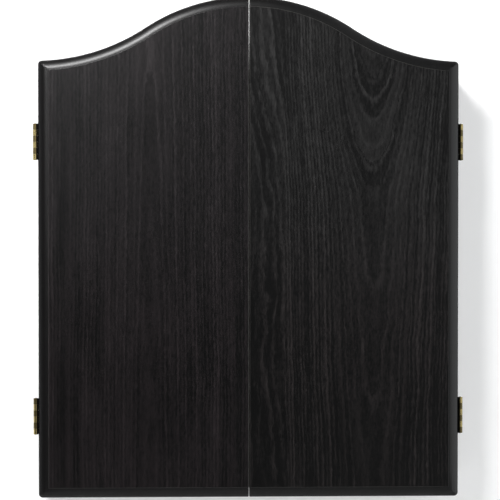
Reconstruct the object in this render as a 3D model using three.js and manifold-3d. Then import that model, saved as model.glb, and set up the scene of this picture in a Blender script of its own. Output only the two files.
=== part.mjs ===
// Dart board cabinet with two arched doors, wall hung.
// Millimetres. X to the viewer's right, Z up, Y = 0 is the wall and the front faces -Y.
// The origin is on the wall, in the middle of the square carcass, behind the bull's-eye.
import * as THREE from "three";
import { mergeVertices } from "three/addons/utils/BufferGeometryUtils.js";
import Module from "manifold-3d";

const wasm = await Module();
wasm.setup();

// ---------------------------------------------------------------- dimensions
const CARCASS = 520; // outside width and height of the square carcass
const CARCASS_DEPTH = 68;
const PANEL = 15; // thickness of the four carcass panels
const BACK = 4; // plywood back, let into a rebate
const REBATE = 7; // how far the back is let into each panel
const FIT = 0.3; // assembly gap round a let-in panel
const LINING = 2; // felt-faced lining in front of the back
const WALL_HOLE = { x: 205, z: 215, r: 2.6, headR: 5.5 };

const HINGE_GAP = 3; // gap between carcass front and door back, filled by the two leaves
const DOOR = 16; // door thickness
const DOOR_GAP = 0.8; // gap between the two meeting edges
const DOOR_BOTTOM = -270;
const SHOULDER = 269.6; // height of the low, nearly level ends of the arched top
const APEX = 348.8; // height of the top of the arch
const CROWN_R = 232; // radius of the crown
const SWEEP_X = 264; // where the hollow sweep beside the crown is level
const EDGE_W = 12.4; // width of the round-over, seen from the front
const EDGE_D = 7.6; // depth of the round-over
const QUIRK_W = 13.4; // where the raised field begins, from the edge
const QUIRK_D = 0.8; // how far the field stands above the round-over
const CORNER_R = 5; // rounding of the door's outline corners

const BARREL_R = 3.1;
const BARREL_X = 263.9; // barrel axis, just outside the carcass
const BARREL_BORE = 1.7;
const PIN_R = 1.6;
const HINGE_LEN = 45;
const KNUCKLES = 6;
const KNUCKLE_GAP = 0.3;
const LEAF_T = 1.2;
const LEAF_IN = 0.3; // half the gap between the two leaves
const LEAF_X0 = 3.5; // near edge of a leaf from the barrel axis
const LEAF_X1 = 16.7; // far edge of a leaf
const HINGE_Z = 170; // hinge centres above and below the middle
const LEAF_SCREW = { x: 10.6, z: 14 };

const SCREW_R = 1.3; // countersunk hinge screw
const SCREW_HEAD_R = 2.5;
const SCREW_HEAD_H = 1.0;
const SCREW_LEN = 11;
const CLEAR = 0.05; // clearance round a screw

const BRACKET = { x: 20, wing: 42, t: 1.5, out: 8, h: 34, slotR: 4.25, slotZ: -2 };
const BRACKET_SCREW = { x: 31, z: 10 };

const BOARD = { x0: 13, x1: 235, z0: -125, z1: 222, t: 3 };
const RACK = { x: 122.5, z: -150, w: 130, h: 14, d: 17, holeR: 4.2, pitch: 42 };

const CATCH = { x: 23, ear: 31, z: 245, h: 13.5, flange: 2, y0: -40, y1: -66.5 };
const MAGNET = { x0: 8.2, x1: 19.8, z0: 233.7, z1: 241.3, y0: -58.2, y1: -69.6 };
const STRIKE = { x: 14, z: 237.5, w: 20, h: 12, t: 1 };
const BUMPER = { x: 12, z: -252.5, r: 4, t: 2.6 };

const half = CARCASS / 2;
const inner = half - PANEL;
const carcassFront = -CARCASS_DEPTH;
const doorBack = carcassFront - HINGE_GAP;
const doorFront = doorBack - DOOR;
const hingeY = carcassFront - HINGE_GAP / 2;
const liningFront = -BACK - LINING;

// ---------------------------------------------------------------- materials
const standard = (color, roughness, metalness = 0) => ({ color, roughness, metalness });
const BLACK_ASH = standard(0x1d1c1d, 0.42);
const BLACK_BOARD = standard(0x1a1a1a, 0.55);
const BACKER = standard(0x3a2d20, 0.7);
const FELT = standard(0x131414, 0.95);
const CHALKBOARD = standard(0x171a19, 0.8);
const BRASS = standard(0xa88f4c, 0.32, 1);
const BRASS_SCREW = standard(0xb09a58, 0.3, 1);
const ZINC = standard(0x9a9ca0, 0.35, 1);
const CATCH_PLASTIC = standard(0x1b1b1c, 0.5);
const MAGNET_STEEL = standard(0x3c3d40, 0.45, 1);
const RUBBER = standard(0x202020, 0.85);

// ---------------------------------------------------------------- helpers
// A closed three.js geometry as a solid, whichever way its faces were wound.
function solid(geometry) {
  const g = geometry.index ? geometry.toNonIndexed() : geometry.clone();
  g.deleteAttribute("normal");
  g.deleteAttribute("uv");
  const m = mergeVertices(g, 1e-4);
  const make = (tri) =>
    new wasm.Manifold(
      new wasm.Mesh({
        numProp: 3,
        vertProperties: new Float32Array(m.attributes.position.array),
        triVerts: tri,
      }),
    );
  const tri = new Uint32Array(m.index.array);
  const s = make(tri);
  if (s.volume() > 0) return s;
  for (let i = 0; i < tri.length; i += 3) [tri[i + 1], tri[i + 2]] = [tri[i + 2], tri[i + 1]];
  return make(tri);
}

function geometryOf(s) {
  const m = s.getMesh();
  const count = m.vertProperties.length / m.numProp;
  const position = new Float32Array(count * 3);
  for (let i = 0; i < count; i++)
    for (let k = 0; k < 3; k++) position[3 * i + k] = m.vertProperties[i * m.numProp + k];
  const g = new THREE.BufferGeometry();
  g.setAttribute("position", new THREE.BufferAttribute(position, 3));
  g.setIndex(new THREE.BufferAttribute(new Uint32Array(m.triVerts), 1));
  g.computeVertexNormals();
  return g;
}

const box = (x0, x1, y0, y1, z0, z1) =>
  solid(
    new THREE.BoxGeometry(Math.abs(x1 - x0), Math.abs(y1 - y0), Math.abs(z1 - z0)).translate(
      (x0 + x1) / 2,
      (y0 + y1) / 2,
      (z0 + z1) / 2,
    ),
  );

// A cylinder along Y between two depths.
const rodY = (r, x, z, y0, y1, sides = 16) =>
  solid(
    new THREE.CylinderGeometry(r, r, Math.abs(y1 - y0), sides).translate(x, (y0 + y1) / 2, z),
  );

// An outline drawn in X and Z, extruded towards the front from depth y0.
const slabY = (shape, y0, depth, options = {}) =>
  solid(
    new THREE.ExtrudeGeometry(shape, { depth, bevelEnabled: false, ...options })
      .rotateX(Math.PI / 2)
      .translate(0, y0, 0),
  );

const slabZ = (shape, z0, depth, options = {}) =>
  solid(
    new THREE.ExtrudeGeometry(shape, { depth, bevelEnabled: false, ...options }).translate(0, 0, z0),
  );

// A turned shape from (radius, height) pairs, head face at 0 and the rest below it.
const turned = (profile, sides = 16) =>
  new THREE.LatheGeometry(
    profile.map(([r, y]) => new THREE.Vector2(r, y)),
    sides,
  );

const cabinet = new THREE.Group();
function add(parent, name, s, material) {
  const mesh = new THREE.Mesh(
    s.isBufferGeometry ? s : geometryOf(s),
    new THREE.MeshStandardMaterial(material),
  );
  mesh.name = name;
  parent.add(mesh);
  return mesh;
}

// ---------------------------------------------------------------- screws
function crossCut(r, depth) {
  const w = 0.62;
  return box(-r, r, -depth, 1, -w / 2, w / 2).add(box(-w / 2, w / 2, -depth, 1, -r, r));
}

// Countersunk screw: head face at y = 0, point at y = -length.
function countersunk(length, headR, headH, shankR) {
  const body = solid(
    turned([
      [0, -length],
      [shankR, -length + 2.4],
      [shankR, -headH - 0.15],
      [headR, -0.15],
      [headR, 0],
      [0, 0],
    ]),
  );
  return body.subtract(crossCut(headR * 0.58, headH * 0.55));
}

// The hole that a countersunk screw goes through and into.
const countersink = (length, headR, headH, shankR) =>
  solid(
    turned([
      [0, -length - 0.3],
      [shankR + CLEAR, -length - 0.3],
      [shankR + CLEAR, -headH - 0.15 - CLEAR],
      [headR + CLEAR, -0.15 - CLEAR],
      [headR + CLEAR, 1],
      [0, 1],
    ]),
  );

// Pan-head screw: underside of the head at y = 0, point at y = -length.
function panHead(length, headR, headH, shankR) {
  const body = solid(
    turned([
      [0, -length],
      [shankR, -length + 1.6],
      [shankR, 0],
      [headR, 0],
      [headR, headH * 0.45],
      [headR * 0.62, headH],
      [0, headH],
    ]),
  );
  const cut = crossCut(headR * 0.55, headH * 0.5).translate([0, headH, 0]);
  return body.subtract(cut);
}

const place = (s, x, y, z) => s.translate([x, y, z]);
// Turned to point its head face at -Y (shank runs towards the wall).
const headForward = (s) => s.rotate([180, 0, 0]);

// ---------------------------------------------------------------- carcass
const backPocket = box(
  -inner - REBATE,
  inner + REBATE,
  -BACK,
  1,
  -inner - REBATE,
  inner + REBATE,
);

const hingeScrewX = BARREL_X - LEAF_SCREW.x;
const hinges = [
  { name: "left_upper", side: -1, z: HINGE_Z },
  { name: "left_lower", side: -1, z: -HINGE_Z },
  { name: "right_upper", side: 1, z: HINGE_Z },
  { name: "right_lower", side: 1, z: -HINGE_Z },
];

const pilot = (x, z, yFrom, yTo, r = SCREW_R + CLEAR) => rodY(r, x, z, yFrom, yTo);
const sideFace = carcassFront - LEAF_T; // head faces of the carcass screws
const doorFace = doorBack + LEAF_T; // head faces of the door screws

function sidePanel(side) {
  let s = box(side * inner, side * half, 0, carcassFront, -half, half).subtract(backPocket);
  for (const h of hinges.filter((h) => h.side === side))
    for (const dz of [-LEAF_SCREW.z, LEAF_SCREW.z])
      s = s.subtract(
        pilot(side * hingeScrewX, h.z + dz, carcassFront - 1, sideFace + SCREW_LEN + 0.3),
      );
  return s;
}
add(cabinet, "left_side_panel", sidePanel(-1), BLACK_BOARD);
add(cabinet, "right_side_panel", sidePanel(1), BLACK_BOARD);

const earX = (CATCH.x + CATCH.ear) / 2;
const earY = (CATCH.y0 + CATCH.y1) / 2 + 2;
let topPanel = box(-inner, inner, 0, carcassFront, inner, half).subtract(backPocket);
for (const s of [-1, 1])
  topPanel = topPanel.subtract(
    solid(
      new THREE.CylinderGeometry(1.45, 1.45, 11, 16)
        .rotateX(Math.PI / 2)
        .translate(s * earX, earY, inner + 4.5),
    ),
  );
add(cabinet, "top_panel", topPanel, BLACK_BOARD);
add(
  cabinet,
  "bottom_panel",
  box(-inner, inner, 0, carcassFront, -half, -inner).subtract(backPocket),
  BLACK_BOARD,
);

const backEdge = inner + REBATE - FIT;
let back = box(-backEdge, backEdge, 0, -BACK, -backEdge, backEdge);
const liningEdge = inner - FIT;
let lining = box(-liningEdge, liningEdge, -BACK, liningFront, -liningEdge, liningEdge);
for (const sx of [-1, 1])
  for (const sz of [-1, 1]) {
    back = back.subtract(rodY(WALL_HOLE.r, sx * WALL_HOLE.x, sz * WALL_HOLE.z, 1, -BACK - 1));
    lining = lining.subtract(
      rodY(WALL_HOLE.headR, sx * WALL_HOLE.x, sz * WALL_HOLE.z, -BACK + 1, liningFront - 1),
    );
    const hole = rodY(1.65, sx * BRACKET_SCREW.x, sz * BRACKET_SCREW.z, -0.4, liningFront - 1);
    back = back.subtract(hole);
    lining = lining.subtract(hole);
  }
add(cabinet, "back_panel", back, BACKER);
add(cabinet, "back_lining", lining, FELT);

// ---------------------------------------------------------------- dartboard bracket
// A pressed steel strip with an open-topped slot: the screw in the middle of a dartboard's back drops into it.
{
  const { x, wing, t, out, h, slotR, slotZ } = BRACKET;
  const y0 = liningFront;
  const s = new THREE.Shape();
  [
    [-wing, y0],
    [-wing, y0 - t],
    [-x, y0 - t],
    [-x, y0 - out],
    [x, y0 - out],
    [x, y0 - t],
    [wing, y0 - t],
    [wing, y0],
    [x - t, y0],
    [x - t, y0 - out + t],
    [-x + t, y0 - out + t],
    [-x + t, y0],
  ].forEach(([px, py], i) => (i ? s.lineTo(px, py) : s.moveTo(px, py)));
  s.closePath();
  let b = slabZ(s, -h / 2, h);
  b = b.subtract(box(-slotR, slotR, y0 - out - 1, y0 - out + t + 1, slotZ, h));
  b = b.subtract(rodY(slotR, 0, slotZ, y0 - out - 1, y0 - out + t + 1, 24));
  let n = 0;
  for (const sx of [-1, 1])
    for (const sz of [1, -1]) {
      const px = sx * BRACKET_SCREW.x,
        pz = sz * BRACKET_SCREW.z;
      b = b.subtract(rodY(1.65, px, pz, y0 + 1, y0 - t - 1));
      const screw = place(headForward(panHead(6.8, 3.2, 1.8, 1.55)), px, y0 - t, pz);
      add(cabinet, "bracket_screw_" + ++n, screw, ZINC);
    }
  add(cabinet, "board_bracket", b, ZINC);
}

// ---------------------------------------------------------------- magnetic catch
{
  const { x, ear, z, h, flange, y0, y1 } = CATCH;
  let body = box(-ear, ear, y0 + 2, y1 + 2.5, z - flange, z).add(
    box(-x, x, y0, y1, z - h, z - flange + 0.5),
  );
  for (const s of [-1, 1]) {
    const m = MAGNET;
    body = body.subtract(
      box(s * (m.x0 - 0.2), s * (m.x1 + 0.2), m.y0 + 0.2, m.y1 - 1, m.z0 - 0.2, m.z1 + 0.2),
    );
    const bore = solid(
      new THREE.CylinderGeometry(1.45, 1.45, 6, 16).rotateX(Math.PI / 2).translate(s * earX, earY, z),
    );
    body = body.subtract(bore);
    const name = s < 0 ? "left" : "right";
    add(
      cabinet,
      name + "_catch_magnet",
      box(s * m.x0, s * m.x1, m.y0, m.y1, m.z0, m.z1),
      MAGNET_STEEL,
    );
    // Screwed upwards into the top panel.
    const screw = place(panHead(9.5, 2.5, 1.5, 1.35).rotate([-90, 0, 0]), s * earX, earY, z - flange);
    add(cabinet, name + "_catch_screw", screw, ZINC);
  }
  add(cabinet, "magnetic_catch", body, CATCH_PLASTIC);
}

// ---------------------------------------------------------------- doors
// Outline of the two doors together: square foot, level shoulders, hollow sweeps and a round crown.
const rise = APEX - SHOULDER;
const radii = (SWEEP_X * SWEEP_X + rise * rise) / (2 * rise);
const SWEEP_R = radii - CROWN_R;
const sweepZ = SHOULDER + SWEEP_R;
const crownZ = APEX - CROWN_R;
const turn = Math.atan2(sweepZ - crownZ, SWEEP_X); // direction from crown centre to sweep centre
const shoulderTurn = Math.asin((SWEEP_X - half) / SWEEP_R);
const edgeZ = sweepZ - SWEEP_R * Math.cos(shoulderTurn);

function topCurve(s) {
  s.absarc(SWEEP_X, sweepZ, SWEEP_R, -Math.PI / 2 - shoulderTurn, turn - Math.PI, true);
  s.absarc(0, crownZ, CROWN_R, turn, Math.PI / 2, false);
  s.absarc(0, crownZ, CROWN_R, Math.PI / 2, Math.PI - turn, false);
  s.absarc(-SWEEP_X, sweepZ, SWEEP_R, -turn, -Math.PI / 2 + shoulderTurn, true);
}
function squareOutline() {
  const s = new THREE.Shape();
  s.moveTo(-half, DOOR_BOTTOM);
  s.lineTo(half, DOOR_BOTTOM);
  s.lineTo(half, edgeZ);
  topCurve(s);
  s.closePath();
  return s;
}
// Trims the four outline corners to a radius, and everything behind the doors' back face.
function cornerTrim() {
  const r = CORNER_R,
    z0 = DOOR_BOTTOM,
    z1 = SHOULDER + 0.1,
    big = 60;
  let keep = box(-half - 5, half + 5, doorBack, doorFront - 1, DOOR_BOTTOM - 5, APEX + 5);
  const corner = (sx, z, sz) => {
    const c = new THREE.Shape();
    c.moveTo(sx * (half - r), z - sz * 0.5 + sz * 0.5);
    const steps = 5;
    for (let i = 0; i <= steps; i++) {
      const a = (Math.PI / 2) * (i / steps);
      c.lineTo(sx * (half - r + r * Math.sin(a)), z - sz * (r - r * Math.cos(a)));
    }
    c.lineTo(sx * (half + big), z - sz * r);
    c.lineTo(sx * (half + big), z + sz * big);
    c.lineTo(sx * (half - r), z + sz * big);
    c.closePath();
    return slabY(c, doorBack + 1, DOOR + 3);
  };
  for (const sx of [-1, 1]) {
    keep = keep.subtract(corner(sx, z0, -1));
    keep = keep.subtract(corner(sx, z1, 1));
  }
  return keep;
}

const doorPair = (() => {
  const outline = squareOutline();
  const curveSegments = 10;
  const base = slabY(outline, doorBack, DOOR - QUIRK_D - EDGE_D, {
    bevelEnabled: true,
    bevelThickness: EDGE_D,
    bevelSize: EDGE_W,
    bevelOffset: -EDGE_W,
    bevelSegments: 5,
    curveSegments,
  });
  const field = slabY(outline, doorBack, DOOR - QUIRK_D, {
    bevelEnabled: true,
    bevelThickness: QUIRK_D,
    bevelSize: QUIRK_W - EDGE_W - 0.3,
    bevelOffset: -QUIRK_W,
    bevelSegments: 2,
    curveSegments,
  });
  return base.add(field).intersect(cornerTrim());
})();

function door(side) {
  let s = doorPair.intersect(
    box((side * DOOR_GAP) / 2, side * (half + 10), doorBack + 5, doorFront - 5, -400, 400),
  );
  for (const h of hinges.filter((h) => h.side === side))
    for (const dz of [-LEAF_SCREW.z, LEAF_SCREW.z])
      s = s.subtract(
        pilot(side * hingeScrewX, h.z + dz, doorBack + 1, doorFace - SCREW_LEN - 0.3),
      );
  s = s.subtract(pilot(side * STRIKE.x, STRIKE.z, doorBack + 1, doorBack - 8.3, 1.2 + CLEAR));
  return s;
}

const doorGroups = {};
for (const [name, side] of [
  ["left", -1],
  ["right", 1],
]) {
  const g = new THREE.Group();
  doorGroups[side] = g;
  cabinet.add(g);
  add(g, name + "_door", door(side), BLACK_ASH);

  // Scoreboard on the inside face of the door.
  add(
    g,
    name + "_scoreboard",
    box(side * BOARD.x0, side * BOARD.x1, doorBack, doorBack + BOARD.t, BOARD.z0, BOARD.z1),
    CHALKBOARD,
  );

  // Dart rack: a bar with three upright holes, below the scoreboard.
  const rack = new THREE.Shape();
  const w = RACK.w / 2,
    d = RACK.d,
    r = 4;
  rack.moveTo(-w, 0);
  rack.lineTo(w, 0);
  rack.lineTo(w, d - r);
  rack.absarc(w - r, d - r, r, 0, Math.PI / 2, false);
  rack.lineTo(-w + r, d);
  rack.absarc(-w + r, d - r, r, Math.PI / 2, Math.PI, false);
  rack.closePath();
  for (const i of [-1, 0, 1]) {
    const hole = new THREE.Path();
    hole.absarc(i * RACK.pitch, d / 2, RACK.holeR, 0, Math.PI * 2, true);
    rack.holes.push(hole);
  }
  const bar = solid(
    new THREE.ExtrudeGeometry(rack, { depth: RACK.h, bevelEnabled: false, curveSegments: 10 })
      .translate(side * RACK.x, doorBack, RACK.z - RACK.h / 2),
  );
  add(g, name + "_dart_rack", bar, BLACK_BOARD);

  // Steel strike plate for the magnetic catch.
  const plate = box(
    side * (STRIKE.x - STRIKE.w / 2),
    side * (STRIKE.x + STRIKE.w / 2),
    doorBack,
    doorBack + STRIKE.t,
    STRIKE.z - STRIKE.h / 2,
    STRIKE.z + STRIKE.h / 2,
  ).subtract(place(countersink(8, 2.2, 0.8, 1.2), side * STRIKE.x, doorBack + STRIKE.t, STRIKE.z));
  add(g, name + "_strike_plate", plate, ZINC);
  add(
    g,
    name + "_strike_screw",
    place(countersunk(8, 2.2, 0.8, 1.2), side * STRIKE.x, doorBack + STRIKE.t, STRIKE.z),
    ZINC,
  );

  // Rubber bumper that meets the bottom panel's front edge.
  add(
    g,
    name + "_bumper",
    rodY(BUMPER.r, side * BUMPER.x, BUMPER.z, doorBack, doorBack + BUMPER.t, 20),
    RUBBER,
  );
}

// ---------------------------------------------------------------- hinges
// In a hinge's own frame the barrel is on Z, the leaves run towards +X, the carcass leaf is on the +Y side.
const pitch = HINGE_LEN / KNUCKLES;
const knuckleZ = (i) => HINGE_LEN / 2 - pitch * (i + 0.5);

function leaf(kind) {
  const [y0, y1] = kind === "door" ? [-LEAF_IN - LEAF_T, -LEAF_IN] : [LEAF_IN, LEAF_IN + LEAF_T];
  let s = box(LEAF_X0, LEAF_X1, y0, y1, -HINGE_LEN / 2, HINGE_LEN / 2);
  const ring = new THREE.Shape();
  ring.absarc(0, 0, BARREL_R, 0, Math.PI * 2, false);
  const bore = new THREE.Path();
  bore.absarc(0, 0, BARREL_BORE, 0, Math.PI * 2, true);
  ring.holes.push(bore);
  const len = pitch - KNUCKLE_GAP;
  for (let i = 0; i < KNUCKLES; i++) {
    if ((i % 2 === 0) !== (kind === "door")) continue;
    const z0 = knuckleZ(i) - len / 2;
    s = s.add(slabZ(ring, z0, len, { curveSegments: 16 }));
    s = s.add(box(2.1, LEAF_X0 + 0.5, y0, y1, z0, z0 + len));
  }
  for (const dz of [-LEAF_SCREW.z, LEAF_SCREW.z]) {
    const hole = countersink(3, SCREW_HEAD_R, SCREW_HEAD_H, SCREW_R);
    s = s.subtract(
      kind === "door"
        ? place(hole, LEAF_SCREW.x, y1, dz)
        : place(headForward(hole), LEAF_SCREW.x, y0, dz),
    );
  }
  return s;
}

const hingePin = () =>
  solid(
    turned([
      [0, -HINGE_LEN / 2 - 0.4],
      [PIN_R - 0.35, -HINGE_LEN / 2 - 0.4],
      [PIN_R, -HINGE_LEN / 2],
      [PIN_R, HINGE_LEN / 2],
      [PIN_R - 0.35, HINGE_LEN / 2 + 0.4],
      [0, HINGE_LEN / 2 + 0.4],
    ]).rotateX(Math.PI / 2),
  );

const screwSolid = countersunk(SCREW_LEN, SCREW_HEAD_R, SCREW_HEAD_H, SCREW_R);

for (const h of hinges) {
  // The right-hand hinges are the same hinge turned half round about Y.
  const put = (s) => (h.side < 0 ? s : s.rotate([0, 180, 0])).translate([h.side * BARREL_X, hingeY, h.z]);
  const doorGroup = doorGroups[h.side];
  add(cabinet, h.name + "_hinge_case_leaf", put(leaf("case")), BRASS);
  add(doorGroup, h.name + "_hinge_door_leaf", put(leaf("door")), BRASS);
  add(cabinet, h.name + "_hinge_pin", put(hingePin()), BRASS);
  for (const [word, sz] of [
    ["top", 1],
    ["bottom", -1],
  ]) {
    const x = h.side * hingeScrewX,
      z = h.z + sz * LEAF_SCREW.z;
    add(
      cabinet,
      `${h.name}_case_screw_${word}`,
      place(headForward(screwSolid), x, sideFace, z),
      BRASS_SCREW,
    );
    add(doorGroup, `${h.name}_door_screw_${word}`, place(screwSolid, x, doorFace, z), BRASS_SCREW);
  }
}

export default cabinet;
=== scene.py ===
"""Looks of the dart board cabinet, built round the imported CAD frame. Metres; X right, Z up, the wall is Y = 0."""
import math

import bmesh
import bpy
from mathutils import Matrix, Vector
from mathutils.geometry import tessellate_polygon


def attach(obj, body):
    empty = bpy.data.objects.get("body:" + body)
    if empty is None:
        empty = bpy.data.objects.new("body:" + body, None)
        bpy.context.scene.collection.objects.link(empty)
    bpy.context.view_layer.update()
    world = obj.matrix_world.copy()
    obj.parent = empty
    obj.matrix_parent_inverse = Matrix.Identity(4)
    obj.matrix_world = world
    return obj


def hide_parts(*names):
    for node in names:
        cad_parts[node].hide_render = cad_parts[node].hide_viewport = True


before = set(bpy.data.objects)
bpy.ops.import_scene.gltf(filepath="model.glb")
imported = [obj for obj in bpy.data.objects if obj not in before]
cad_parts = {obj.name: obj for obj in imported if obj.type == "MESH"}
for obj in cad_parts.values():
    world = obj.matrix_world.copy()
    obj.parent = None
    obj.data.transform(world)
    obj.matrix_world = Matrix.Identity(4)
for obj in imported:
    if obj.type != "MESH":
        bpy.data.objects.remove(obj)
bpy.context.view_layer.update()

MM = 0.001
SCENE = bpy.context.scene
SCENE.view_settings.view_transform = "Standard"
SCENE.view_settings.look = "None"
SCENE.view_settings.exposure = 0.0
SCENE.view_settings.gamma = 1.0

# ------------------------------------------------------------------ camera
cam_data = bpy.data.cameras.new("camera")
cam_data.sensor_width = 36.0
cam_data.lens = 146.8
cam_data.clip_start, cam_data.clip_end = 0.05, 60.0
cam = bpy.data.objects.new("camera", cam_data)
SCENE.collection.objects.link(cam)
cam.location = (-0.0825, -2.600, 0.0925)
PAN, TILT = math.radians(1.903), math.radians(-1.278)
look = Vector((math.sin(PAN) * math.cos(TILT), math.cos(PAN) * math.cos(TILT), math.sin(TILT)))
cam.rotation_mode = "QUATERNION"
cam.rotation_quaternion = look.to_track_quat("-Z", "Y")
SCENE.camera = cam

# ------------------------------------------------------------------ dimensions, mm
INNER, HALF, DEPTH = 245.0, 260.0, 68.0
DOOR_BACK, DOOR_FRONT = -71.0, -87.0
DOOR_BOTTOM, SHOULDER, APEX = -270.0, 269.6, 348.8
CROWN_R, SWEEP_X, CORNER_R, GAP = 232.0, 264.0, 5.0, 0.40
RISE = APEX - SHOULDER
RADII = (SWEEP_X**2 + RISE**2) / (2 * RISE)
SWEEP_R = RADII - CROWN_R
SWEEP_Z = SHOULDER + SWEEP_R
CROWN_Z = APEX - CROWN_R
SIDES = (("left", -1), ("right", 1))


# ------------------------------------------------------------------ mesh helpers
def joined(*parts):
    """Several closed forms as one: each part is (vertices in mm, faces, material numbers)."""
    verts, faces, slots = [], [], []
    for part in parts:
        n = len(verts)
        verts += list(part[0])
        faces += [tuple(i + n for i in f) for f in part[1]]
        slots += list(part[2]) if len(part) > 2 else [0] * len(part[1])
    return verts, faces, slots


def moved(part, fn):
    return [fn(*v) for v in part[0]], part[1], (part[2] if len(part) > 2 else [0] * len(part[1]))


def mesh_of(name, part, sharp=32.0):
    verts, faces = part[0], part[1]
    me = bpy.data.meshes.new(name)
    me.from_pydata([(x * MM, y * MM, z * MM) for x, y, z in verts], [], faces)
    if len(part) > 2:
        me.polygons.foreach_set("material_index", list(part[2]))
    bm = bmesh.new()
    bm.from_mesh(me)
    bmesh.ops.remove_doubles(bm, verts=bm.verts, dist=2e-6)
    bmesh.ops.dissolve_degenerate(bm, dist=1e-7, edges=bm.edges)
    bmesh.ops.recalc_face_normals(bm, faces=bm.faces)
    limit = math.radians(sharp)
    for f in bm.faces:
        f.smooth = True
    for e in bm.edges:
        if len(e.link_faces) == 2 and e.calc_face_angle(0.0) > limit:
            e.smooth = False
    # corner normals weighted by face area, so that broad flats stay flat beside their rounded edges
    bm.faces.index_update()
    corner = {}
    for v in bm.verts:
        left = set(v.link_faces)
        while left:
            group, todo = [], [left.pop()]
            while todo:
                f = todo.pop()
                group.append(f)
                for e in f.edges:
                    if e.smooth and v in e.verts:
                        for g in e.link_faces:
                            if g in left:
                                left.discard(g)
                                todo.append(g)
            n = Vector((0, 0, 0))
            for f in group:
                n += f.normal * f.calc_area()
            n.normalize()
            for f in group:
                corner[f.index, v.index] = n
    normals = [tuple(corner[f.index, l.vert.index]) for f in bm.faces for l in f.loops]
    bm.to_mesh(me)
    bm.free()
    me.normals_split_custom_set(normals)
    return me


def piece(name, part, body, materials, stands_for=(), sharp=32.0):
    me = mesh_of(name, part, sharp)
    for m in materials if isinstance(materials, (list, tuple)) else [materials]:
        me.materials.append(m)
    ob = bpy.data.objects.new(name, me)
    SCENE.collection.objects.link(ob)
    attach(ob, body)
    if stands_for:
        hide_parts(*([stands_for] if isinstance(stands_for, str) else stands_for))
    return ob


def area_of(loop):
    return 0.5 * sum(
        a[0] * b[1] - b[0] * a[1] for a, b in zip(loop, list(loop[1:]) + [loop[0]])
    )


def inset(loop, by):
    """The loop moved into its material, which lies on the left of every edge."""
    out, n = [], len(loop)
    for i in range(n):
        p, a, b = loop[i], loop[i - 1], loop[(i + 1) % n]
        d1, d2 = (p[0] - a[0], p[1] - a[1]), (b[0] - p[0], b[1] - p[1])
        l1, l2 = math.hypot(*d1) or 1e-9, math.hypot(*d2) or 1e-9
        n1, n2 = (-d1[1] / l1, d1[0] / l1), (-d2[1] / l2, d2[0] / l2)
        k = max(1 + n1[0] * n2[0] + n1[1] * n2[1], 0.3)
        out.append((p[0] + by * (n1[0] + n2[0]) / k, p[1] + by * (n1[1] + n2[1]) / k))
    return out


AXES = {
    "x": lambda u, v, w: (w, u, v),  # u along Y, v along Z
    "y": lambda u, v, w: (u, w, v),  # u along X, v along Z
    "z": lambda u, v, w: (u, v, w),
}


def slab(loops, lo, hi, axis="z", bevel=0.3, steps=2, bevel_hi=None):
    """An outline with holes, pulled from lo to hi, its edges rounded to bevel."""
    if isinstance(loops[0][0], (int, float)):
        loops = [loops]
    loops = [
        list(l) if (area_of(l) > 0) == (i == 0) else list(l)[::-1] for i, l in enumerate(loops)
    ]
    b0 = bevel
    b1 = bevel if bevel_hi is None else bevel_hi
    s = 1.0 if hi > lo else -1.0
    levels = []
    for k in range(steps + 1) if b0 > 0 else [steps]:
        a = math.pi / 2 * k / steps
        levels.append((b0 * (1 - math.sin(a)), lo + s * b0 * (1 - math.cos(a))))
    for k in range(steps, -1, -1) if b1 > 0 else [steps]:
        a = math.pi / 2 * k / steps
        levels.append((b1 * (1 - math.sin(a)), hi - s * b1 * (1 - math.cos(a))))
    put = AXES[axis]
    verts, rows = [], []
    for off, w in levels:
        row = []
        for l in loops:
            start = len(verts)
            verts += [put(u, v, w) for u, v in (inset(l, off) if off > 1e-9 else l)]
            row.append((start, len(l)))
        rows.append(row)
    faces = []
    for r0, r1 in zip(rows, rows[1:]):
        for (a, n), (b, _) in zip(r0, r1):
            for i in range(n):
                j = (i + 1) % n
                faces.append((a + i, a + j, b + j, b + i))
    for row, (off, w) in ((rows[0], levels[0]), (rows[-1], levels[-1])):
        flat = [
            [Vector((u, v, 0)) for u, v in (inset(l, off) if off > 1e-9 else l)] for l in loops
        ]
        if len(loops) == 1:
            a, n = row[0]
            faces.append(tuple(range(a, a + n)))
        else:
            index = [a + i for a, n in row for i in range(n)]
            faces += [tuple(index[i] for i in t) for t in tessellate_polygon(flat)]
    return verts, faces, [0] * len(faces)


def circle(cx, cz, r, n=32):
    return [
        (cx + r * math.cos(2 * math.pi * i / n), cz + r * math.sin(2 * math.pi * i / n))
        for i in range(n)
    ]


def rounded(points, r, n=5):
    """A polygon with its corners turned to radius r: a number, or one for each corner."""
    out, m = [], len(points)
    for i in range(m):
        p, a, b = points[i], points[i - 1], points[(i + 1) % m]
        ri = r[i] if isinstance(r, (list, tuple)) else r
        if ri <= 0:
            out.append(p)
            continue
        u1 = Vector((a[0] - p[0], a[1] - p[1])).normalized()
        u2 = Vector((b[0] - p[0], b[1] - p[1])).normalized()
        ang = u1.angle(u2)
        t = ri / math.tan(ang / 2)
        c = Vector(p) + (u1 + u2).normalized() * (ri / math.sin(ang / 2))
        s, e = Vector(p) + u1 * t, Vector(p) + u2 * t
        a0 = math.atan2(s.y - c.y, s.x - c.x)
        a1 = math.atan2(e.y - c.y, e.x - c.x)
        d = (a1 - a0 + math.pi) % (2 * math.pi) - math.pi
        out += [(c.x + ri * math.cos(a0 + d * k / n), c.y + ri * math.sin(a0 + d * k / n)) for k in range(n + 1)]
    return out


def rect(x0, x1, z0, z1, r=0.0, n=5):
    x0, x1 = min(x0, x1), max(x0, x1)
    pts = [(x0, z0), (x1, z0), (x1, z1), (x0, z1)]
    return rounded(pts, r, n) if r > 0 else pts


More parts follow.
